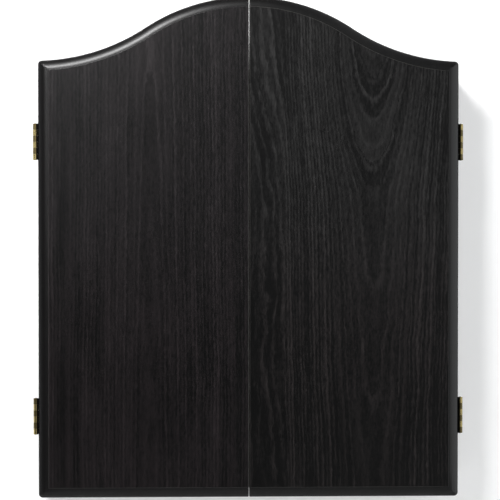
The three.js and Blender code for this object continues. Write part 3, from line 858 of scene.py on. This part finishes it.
holes = [circle(sx * 205, sz * 215, 2.6) for sx in (-1, 1) for sz in (-1, 1)]
holes += [circle(sx * 31, sz * 10, 1.65, 20) for sx in (-1, 1) for sz in (-1, 1)]
piece(
    "wall_back_board",
    slab([rect(-251.7, 251.7, -251.7, 251.7, 0.6, 3)] + holes, 0, -4, "y", 0.2),
    "case",
    M["hardboard"],
    "back_panel",
)
holes = [circle(sx * 205, sz * 215, 5.5, 40) for sx in (-1, 1) for sz in (-1, 1)]
holes += [circle(sx * 31, sz * 10, 1.65, 20) for sx in (-1, 1) for sz in (-1, 1)]
piece(
    "felt_lining",
    slab([rect(-244.7, 244.7, -244.7, 244.7, 1.0, 3)] + holes, -4, -6, "y", 0.0, 3, 0.6),
    "case",
    M["felt"],
    "back_lining",
)


# ------------------------------------------------------------------ screws
def cross_recess(r, depth, w=0.66):
    """A tapered cross, its mouth at height 0, for cutting into a screw head."""
    parts = []
    for turn in (0, 1):
        top = [(-r, -w / 2), (r, -w / 2), (r, w / 2), (-r, w / 2)]
        low = [(-r * 0.42, -w * 0.3), (r * 0.42, -w * 0.3), (r * 0.42, w * 0.3), (-r * 0.42, w * 0.3)]
        if turn:
            top = [(-v, u) for u, v in top]
            low = [(-v, u) for u, v in low]
        k = 1 + 0.5 / depth
        up = [(t[0] + (t[0] - l[0]) * (k - 1), t[1] + (t[1] - l[1]) * (k - 1)) for t, l in zip(top, low)]
        verts = [(u, v, 0.5) for u, v in up] + [(u, v, -depth) for u, v in low]
        faces = [(3, 2, 1, 0), (4, 5, 6, 7)] + [(i, (i + 1) % 4, 4 + (i + 1) % 4, 4 + i) for i in range(4)]
        parts.append((verts, faces, [0] * 6))
    return parts


def thread(r, z0, z1, pitch=1.1, crest=0.28, n=20, tip=2.4):
    """Shank with a helical thread from z0 down to the point at z1, as (verts, rings), for joining to a head."""
    rings = []
    steps = int((z0 - z1) / (pitch / 5))
    for k in range(steps + 1):
        z = z0 + (z1 - z0) * k / steps
        taper = min(1.0, max(0.03, (z - z1) / tip))
        ring = []
        for i in range(n):
            a = 2 * math.pi * i / n
            ph = (z / pitch + i / n) % 1.0
            t = max(0.0, 1 - abs(ph - 0.5) * 4.2)
            rise = crest * t * min(1.0, (z0 - z) / 0.8)
            ring.append(((r - crest + rise) * taper * math.cos(a), (r - crest + rise) * taper * math.sin(a), z))
        rings.append(ring)
    return rings


def screw(head, r, length, recess_r, recess_d, head_z):
    """head is a profile of (radius, height) from the top of the head down to the shank."""
    n = 20
    rings = [[(rr * math.cos(2 * math.pi * i / n), rr * math.sin(2 * math.pi * i / n), h) for i in range(n)] for rr, h in head]
    rings += thread(r, head[-1][1] - 0.2, -length, n=n)
    verts = [v for ring in rings for v in ring]
    faces = [tuple(range(n))]
    for k in range(len(rings) - 1):
        for i in range(n):
            j = (i + 1) % n
            faces.append((k * n + i, k * n + j, (k + 1) * n + j, (k + 1) * n + i))
    m = (len(rings) - 1) * n
    faces.append(tuple(range(m + n - 1, m - 1, -1)))
    body = (verts, faces, [0] * len(faces))
    cut = [moved(c, lambda x, y, z: (x, y, z + head_z)) for c in cross_recess(recess_r, recess_d)]
    return carved(body, *cut)


def flat_head(R, H, r, length):
    return screw([(R - 0.12, 0.0), (R, -0.10), (R, -0.18), (r, -H - 0.15), (r - 0.28, -H - 0.6)], r, length, R * 0.56, H * 1.15, 0.0)


def pan_head(R, H, r, length):
    prof = [(R * 0.30, H), (R * 0.62, H * 0.95), (R * 0.84, H * 0.80), (R * 0.96, H * 0.56), (R, H * 0.30), (R, 0.08), (R - 0.08, 0.0), (r, 0.0), (r - 0.28, -0.5)]
    return screw(prof, r, length, R * 0.55, H * 0.75, H)


hinge_screw = flat_head(2.5, 1.0, 1.3, 11)
strike_screw = flat_head(2.2, 0.8, 1.2, 8)
bracket_screw = pan_head(3.2, 1.8, 1.55, 6.8)
catch_screw = pan_head(2.5, 1.5, 1.35, 9.5)


def set_screw(part, x, y, z, axis, spin=0.0):
    """axis: where the head faces. +y, -y or -z."""
    c, s = math.cos(spin), math.sin(spin)

    def fn(px, py, pz):
        px, py = px * c - py * s, px * s + py * c
        if axis == "+y":
            return (x + px, y + pz, z + py)
        if axis == "-y":
            return (x + px, y - pz, z + py)
        return (x + px, y + py, z - pz)

    return moved(part, fn)


# ------------------------------------------------------------------ dartboard bracket
def bracket():
    t, out, xw, xp = 1.5, 8.0, 42.0, 20.0
    y0 = -6.0
    line = [
        (-xw, y0), (-xw, y0 - t), (-xp, y0 - t), (-xp, y0 - out), (xp, y0 - out), (xp, y0 - t), (xw, y0 - t), (xw, y0),
        (xp - t, y0), (xp - t, y0 - out + t), (-xp + t, y0 - out + t), (-xp + t, y0),
    ]
    radii = [0.3, 0.3, 0.6, 2.0, 2.0, 0.6, 0.3, 0.3, 0.9, 0.6, 0.6, 0.9]
    strip = slab(rounded(line, radii, 5), -17, 17, "z", 0.2)
    # the slot's mouth opens out a little
    slot = [(-4.25, -2)] + [(4.25 * math.cos(a), -2 + 4.25 * math.sin(a)) for a in [math.pi + math.pi * i / 24 for i in range(1, 24)]] + [(4.25, -2)]
    slot += [(4.25, 13.2), (4.7, 14.8), (5.6, 16.3), (6.6, 17.6), (6.6, 22), (-6.6, 22), (-6.6, 17.6), (-5.6, 16.3), (-4.7, 14.8), (-4.25, 13.2)]
    cuts = [slab(slot, y0 - out - 2, y0 - out + t + 2, "y", 0.0)]
    for sx in (-1, 1):
        for sz in (-1, 1):
            cuts.append(slab(circle(sx * 31, sz * 10, 1.7, 24), y0 - t - 2, y0 + 2, "y", 0.0))
    # outer corners of the wings
    for sx in (-1, 1):
        for sz in (-1, 1):
            cx, cz = sx * (xw - 4), sz * 13
            corner = [(cx + sx * 4 * math.cos(a), cz + sz * 4 * math.sin(a)) for a in [math.pi / 2 * i / 6 for i in range(7)]]
            corner += [(cx, cz + sz * 12), (cx + sx * 12, cz + sz * 12), (cx + sx * 12, cz)]
            cuts.append(slab(corner, y0 - t - 2, y0 + 2, "y", 0.0))
    return carved(strip, *cuts)


piece("board_hook_plate", bracket(), "case", M["zinc"], "board_bracket")
n = 0
for sx in (-1, 1):
    for sz in (1, -1):
        n += 1
        piece(
            f"hook_plate_screw_{n}",
            set_screw(bracket_screw, sx * 31, -7.5, sz * 10, "-y", 0.4 + 0.9 * n),
            "case",
            M["zinc"],
            f"bracket_screw_{n}",
        )


# ------------------------------------------------------------------ magnetic catch
def catch_body():
    flange = slab(rect(-31, 31, -64, -42, 3.0, 6), 243.0, 245.0, "z", 0.35)
    block = slab(rect(-23, 23, -66.5, -40, 1.6, 5), 231.5, 243.6, "z", 0.7, 3, 0.05)
    body = carved(flange, block, op="UNION")
    cuts = []
    for s in (-1, 1):
        x0, x1 = sorted((s * 8.0, s * 20.0))
        cuts.append(slab(rect(x0, x1, 233.5, 241.5, 0.5, 3), -58.0, -68.6, "y", 0.0))
        cuts.append(slab(circle(s * 27, -51.25, 1.45, 24), 240.0, 248.0, "z", 0.0))
    # a shallow parting groove between the two magnet seats
    cuts.append(slab(rect(-1.1, 1.1, -69, -62, 0.3, 2), 230.0, 243.0, "z", 0.0))
    return carved(body, *cuts)


piece("double_catch_body", catch_body(), "case", M["plastic"], "magnetic_catch")
for name, s in SIDES:
    x0, x1 = sorted((s * 8.2, s * 19.8))
    # a magnet between two steel pole plates that stand proud of it
    poles = [
        slab(rect(x0, x1, 233.7, 235.3, 0.25, 2), -58.2, -69.6, "y", 0.2),
        slab(rect(x0, x1, 239.7, 241.3, 0.25, 2), -58.2, -69.6, "y", 0.2),
    ]
    core = slab(rect(x0 + 0.2, x1 - 0.2, 235.2, 239.8, 0.2, 2), -58.3, -68.7, "y", 0.25)
    body = carved(core, *poles, op="UNION")
    piece(f"catch_pole_{name}", body, "case", M["magnet"], f"{name}_catch_magnet")
    piece(
        f"catch_fixing_screw_{name}",
        set_screw(catch_screw, s * 27, -51.25, 243.0, "-z", 0.7 * s),
        "case",
        M["zinc"],
        f"{name}_catch_screw",
    )


# ------------------------------------------------------------------ inside of the doors
def number_mesh(text, x, z, height, y):
    """Plain numerals as thin raised print, facing +Y (seen from inside the cabinet)."""
    cu = bpy.data.curves.new("tmp_text", "FONT")
    cu.body = text
    cu.size = height / 0.7 * MM
    cu.align_x, cu.align_y = "CENTER", "CENTER"
    cu.resolution_u = 4
    cu.extrude = 0.00003
    ob = bpy.data.objects.new("tmp_text", cu)
    SCENE.collection.objects.link(ob)
    dg = bpy.context.evaluated_depsgraph_get()
    dg.update()
    me = bpy.data.meshes.new_from_object(ob.evaluated_get(dg))
    verts = [(x - v.co.x / MM, y + v.co.z / MM, z + v.co.y / MM) for v in me.vertices]
    faces = [tuple(p.vertices) for p in me.polygons]
    bpy.data.objects.remove(ob, do_unlink=True)
    bpy.data.meshes.remove(me)
    return verts, faces, [0] * len(faces)


def board_marks(side):
    """Ruled scoring columns with the plain numbers 20 to 15 down the middle."""
    x0, x1, z0, z1 = 13.0, 235.0, -125.0, 222.0
    xm = side * (x0 + x1) / 2
    y = -68.0
    parts = []

    def bar(a0, a1, b0, b1):
        parts.append(slab(rect(min(a0, a1), max(a0, a1), b0, b1), y, y + 0.05, "y", 0.0))

    e, w = 7.0, 0.9
    a, b = side * (x0 + e), side * (x1 - e)
    lo, hi = min(a, b), max(a, b)
    top, low = z1 - e, z0 + e
    head = top - 42.0
    bar(lo, hi, top - w, top)
    bar(lo, hi, low, low + w)
    bar(lo, lo + w, low + w, top - w)
    bar(hi - w, hi, low + w, top - w)
    bar(lo + w, hi - w, head - w, head)
    for sx in (-1, 1):
        bar(xm + sx * 17 - w / 2, xm + sx * 17 + w / 2, low + w, head - w)
    pitch = (head - w - low - w) / 7
    for i, t in enumerate(["20", "19", "18", "17", "16", "15"]):
        parts.append(number_mesh(t, xm, head - w - pitch * (i + 0.62), 13.5, y + 0.03))
    return joined(*parts)


for name, s in SIDES:
    body = f"{name}_door"
    panel = slab(rect(s * 13, s * 235, -125, 222, 2.5, 6), -71.0, -68.0, "y", 0.0, 3, 0.45)
    piece(f"scoring_slate_{name}", panel, body, M["chalk"], f"{name}_scoreboard")
    piece(f"scoring_lines_{name}", board_marks(s), body, M["paint"])
    cx = s * 122.5
    outline = rounded(
        [(cx - 65, -71), (cx + 65, -71), (cx + 65, -54), (cx - 65, -54)], [0.4, 0.4, 4, 4], 8
    )
    bores = [circle(cx + i * 42, -62.5, 4.2, 40) for i in (-1, 0, 1)]
    piece(f"dart_bar_{name}", slab([outline] + bores, -157, -143, "z", 0.9, 3), body, M["board_x"], f"{name}_dart_rack")
    plate = slab([rect(s * 4, s * 24, 231.5, 243.5, 1.8, 5), circle(s * 14, 237.5, 2.26, 32)], -71.0, -70.0, "y", 0.12)
    piece(f"catch_plate_{name}", plate, body, M["zinc"], f"{name}_strike_plate")
    piece(f"catch_plate_screw_{name}", set_screw(strike_screw, s * 14, -70.0, 237.5, "+y", 0.5 * s), body, M["zinc"], f"{name}_strike_screw")
    dome = [(0, 0), (3.7, 0), (3.95, 0.15), (4.0, 0.5), (3.95, 1.1), (3.75, 1.7), (3.3, 2.2), (2.4, 2.5), (1.2, 2.6), (0, 2.6)]
    piece(f"door_buffer_{name}", moved(lathe(dome, 36), lambda x, y, z: (s * 12 + x, -71 + z, -252.5 + y)), body, M["rubber"], f"{name}_bumper")


# ------------------------------------------------------------------ hinges
def hinge_leaf(kind):
    """In the hinge's own frame: barrel on Z, leaves towards +X, the case leaf on the +Y side."""
    y0, y1 = (-1.5, -0.3) if kind == "door" else (0.3, 1.5)
    pitch, gap, half = 7.5, 0.12, 22.5
    own = [i for i in range(6) if (i % 2 == 0) == (kind == "door")]
    # leaf outline in X and Z: notched for the other leaf's knuckles
    plate = slab(rounded([(3.5, -half), (16.7, -half), (16.7, half), (3.5, half)], [0, 0.8, 0.8, 0], 4), y0, y1, "y", 0.12)
    extra, cuts = [], []
    for i in own:
        zc = half - pitch * (i + 0.5)
        z0, z1 = zc - (pitch - gap) / 2, zc + (pitch - gap) / 2
        ring = [circle(0, 0, 3.1, 56), circle(0, 0, 1.7, 32)]
        extra.append(slab(ring, z0, z1, "z", 0.22, 3))
        extra.append(slab(rect(2.1, 4.0, y0 + 0.02, y1 - 0.02), z0 + 0.02, z1 - 0.02, "z", 0.1, 1))
    for sz in (-1, 1):
        if kind == "door":
            cone = lathe([(0, -3), (1.36, -3), (1.36, -1.2), (2.56, -0.2), (2.56, 1), (0, 1)], 32)
            cuts.append(moved(cone, lambda x, y, z: (10.6 + x, y1 + z, sz * 14 + y)))
        else:
            cone = lathe([(0, -3), (1.36, -3), (1.36, -1.2), (2.56, -0.2), (2.56, 1), (0, 1)], 32)
            cuts.append(moved(cone, lambda x, y, z: (10.6 + x, y0 - z, sz * 14 + y)))
    return carved(carved(plate, *cuts), *extra, op="UNION")


def pin_mesh():
    return lathe([(0, -22.9), (0.7, -22.87), (1.15, -22.75), (1.47, -22.45), (1.6, -22.1), (1.6, 22.1), (1.47, 22.45), (1.15, 22.75), (0.7, 22.87), (0, 22.9)], 32)


leaves = {k: hinge_leaf(k) for k in ("case", "door")}
pin = pin_mesh()
k = 0
for name, side in SIDES:
    for level, hz in (("upper", 170.0), ("lower", -170.0)):
        tag = f"{name}_{level}"

        def put(x, y, z, side=side, hz=hz):
            if side > 0:
                x, z = -x, -z
            return (side * 263.9 + x, -69.5 + y, hz + z)

        piece(f"{tag}_butt_leaf_case", moved(leaves["case"], put), "case", M["brass"], f"{tag}_hinge_case_leaf", 26)
        piece(f"{tag}_butt_leaf_door", moved(leaves["door"], put), f"{name}_door", M["brass_shaded_copy"], f"{tag}_hinge_door_leaf", 26)
        piece(f"{tag}_butt_pin", moved(pin, put), "case", M["brass_shaded_copy"], f"{tag}_hinge_pin")
        for word, sz in (("top", 1), ("bottom", -1)):
            k += 1
            x, z = side * 253.3, hz + sz * 14
            piece(f"{tag}_case_fixing_{word}", set_screw(hinge_screw, x, -69.2, z, "-y", 1.3 * k), "case", M["brass_screw"], f"{tag}_case_screw_{word}")
            piece(f"{tag}_door_fixing_{word}", set_screw(hinge_screw, x, -69.8, z, "+y", 0.8 * k), f"{name}_door", M["brass_screw"], f"{tag}_door_screw_{word}")


# ------------------------------------------------------------------ stage: wall, floor, light
def one_sided(name, color, grain_mm, glow=0.0):
    """Painted surface that is only there from its front, so that it never hides the object from behind."""
    s = Shader(name, Specular_IOR_Level=0.1)
    x, y, z = s.xyz()
    tex = s.noise(s.vec(x / grain_mm, y / grain_mm, z / grain_mm), 1.0, 3.0, 0.6)
    c = s.mix(tex, color, tuple(v * 1.02 for v in color))
    s.finish(c, 0.85, height=tex, depth=0.05)
    if glow:  # the wall glows to stand in for bounced light; the glow is taken away in the pocket between the doors' crown and the wall, a painted shadow there
        s.b.inputs["Emission Color"].default_value = (1, 1, 1, 1)
        painted_pocket_shadow = s.span(s.math("ABSOLUTE", x), 235.0, 262.0, 1.0, 0.0) * s.span(z, 262.0, 300.0, 1.0, 0.0, smooth=True) * s.span(z, 240.0, 255.0)
        s.put(s.b.inputs["Emission Strength"], (1.0 - painted_pocket_shadow) * glow)
    geo = s.t.nodes.new("ShaderNodeNewGeometry")
    clear = s.t.nodes.new("ShaderNodeBsdfTransparent")
    mix = s.t.nodes.new("ShaderNodeMixShader")
    s.t.links.new(geo.outputs["Backfacing"], mix.inputs[0])
    s.t.links.new(s.b.outputs[0], mix.inputs[1])
    s.t.links.new(clear.outputs[0], mix.inputs[2])
    s.t.links.new(mix.outputs[0], s.out.inputs["Surface"])
    return s.m


def plane(name, verts, faces, material):
    me = bpy.data.meshes.new(name)
    me.from_pydata(verts, [], faces)
    me.materials.append(material)
    ob = bpy.data.objects.new(name, me)
    SCENE.collection.objects.link(ob)
    return ob


WALL_GLOW = 0.27
W, HOLE, YW = 1.6, 0.25, 0.0006
wall = plane(
    "backdrop_wall",
    [(-W, YW, -1.25), (W, YW, -1.25), (W, YW, W), (-W, YW, W), (-HOLE, YW, -HOLE), (HOLE, YW, -HOLE), (HOLE, YW, HOLE), (-HOLE, YW, HOLE)],
    [(0, 1, 5, 4), (1, 2, 6, 5), (2, 3, 7, 6), (3, 0, 4, 7)],
    one_sided("white wall", (0.80, 0.80, 0.80), 2.0, WALL_GLOW),
)
floor = plane(
    "studio_floor",
    [(-3, -4, -1.25), (3, -4, -1.25), (3, 3, -1.25), (-3, 3, -1.25)],
    [(0, 1, 2, 3)],
    one_sided("pale floor", (0.72, 0.72, 0.71), 6.0),
)


def area_light(name, where, target, sx, sy, radiance, spread=180.0, color=(1, 1, 1)):
    data = bpy.data.lights.new(name, "AREA")
    data.shape, data.size, data.size_y = "RECTANGLE", sx, sy
    data.energy = radiance * math.pi * sx * sy
    data.spread = math.radians(spread)
    data.color = color
    ob = bpy.data.objects.new(name, data)
    SCENE.collection.objects.link(ob)
    ob.location = where
    ob.rotation_mode = "QUATERNION"
    ob.rotation_quaternion = (Vector(target) - Vector(where)).to_track_quat("-Z", "Y")
    return ob


fill = area_light("left_softbox", (-0.67, -1.25, 0.50), (-0.26, -0.09, 0.2), 0.16, 0.70, 8.4)
fill.visible_diffuse = False
key = area_light("key_softbox", (-0.509, -1.050, 1.031), (0, 0, 0), 0.53, 0.32, 10.3 / (0.53 * 0.32))
key.visible_glossy = False
shine = area_light("key_reflection", (-0.430, -0.860, 0.775), (0, 0, 0), 0.25, 0.09, 5.35 / (0.25 * 0.09))
shine.visible_diffuse = False

world = bpy.data.worlds.new("studio")
SCENE.world = world
world.use_nodes = True
wt = world.node_tree
wt.nodes.clear()
w_out = wt.nodes.new("ShaderNodeOutputWorld")
w_bg = wt.nodes.new("ShaderNodeBackground")
w_show = wt.nodes.new("ShaderNodeBackground")
w_mix = wt.nodes.new("ShaderNodeMixShader")
w_path = wt.nodes.new("ShaderNodeLightPath")
w_co = wt.nodes.new("ShaderNodeTexCoord")
w_sep = wt.nodes.new("ShaderNodeSeparateXYZ")
wt.links.new(w_co.outputs["Generated"], w_sep.inputs[0])


def wmath(op, a, b, clamp=False):
    n = wt.nodes.new("ShaderNodeMath")
    n.operation, n.use_clamp = op, clamp
    for s, v in zip(n.inputs, (a, b)):
        if isinstance(v, (int, float)):
            s.default_value = v
        else:
            wt.links.new(v, s)
    return n.outputs[0]


def wspan(v, lo, hi, a, b):
    n = wt.nodes.new("ShaderNodeMapRange")
    n.interpolation_type, n.clamp = "SMOOTHSTEP", True
    wt.links.new(v, n.inputs["Value"])
    for key_, val in (("From Min", lo), ("From Max", hi), ("To Min", a), ("To Max", b)):
        n.inputs[key_].default_value = val
    return n.outputs["Result"]


# dim on the camera's side and on the left, a bright wall of light on the right, a pale floor below, light behind
right = wmath(
    "MULTIPLY",
    wspan(w_sep.outputs["X"], 0.14, 0.64, 0.0, 2.03),
    wspan(w_sep.outputs["Z"], 0.16, 0.62, 1.0, 0.44),
)
low = wspan(w_sep.outputs["Z"], -0.25, -0.85, 0.0, 1.0)
high = wspan(w_sep.outputs["Z"], 0.30, 0.90, 0.0, 0.08)
behind = wspan(w_sep.outputs["Y"], 0.05, 0.6, 0.0, 0.9)
veil = wmath(
    "MULTIPLY",
    wspan(w_sep.outputs["X"], -0.10, 0.28, 0.0, 0.22),
    wmath("MULTIPLY", wspan(w_sep.outputs["Z"], -0.22, 0.08, 0.0, 1.0), wspan(w_sep.outputs["Z"], 0.16, 0.42, 1.0, 0.0)),
)
left = wspan(w_sep.outputs["X"], -0.86, -0.98, 0.0, 0.8)
total = wmath("ADD", wmath("ADD", wmath("ADD", right, low), wmath("ADD", high, behind)), wmath("ADD", wmath("ADD", veil, left), 0.056))
wt.links.new(total, w_bg.inputs["Strength"])
w_bg.inputs["Color"].default_value = (0.97, 0.985, 1.0, 1.0)
w_show.inputs["Color"].default_value = (0.88, 0.88, 0.88, 1.0)
wt.links.new(w_path.outputs["Is Camera Ray"], w_mix.inputs[0])
wt.links.new(w_bg.outputs[0], w_mix.inputs[1])
wt.links.new(w_show.outputs[0], w_mix.inputs[2])
wt.links.new(w_mix.outputs[0], w_out.inputs["Surface"])
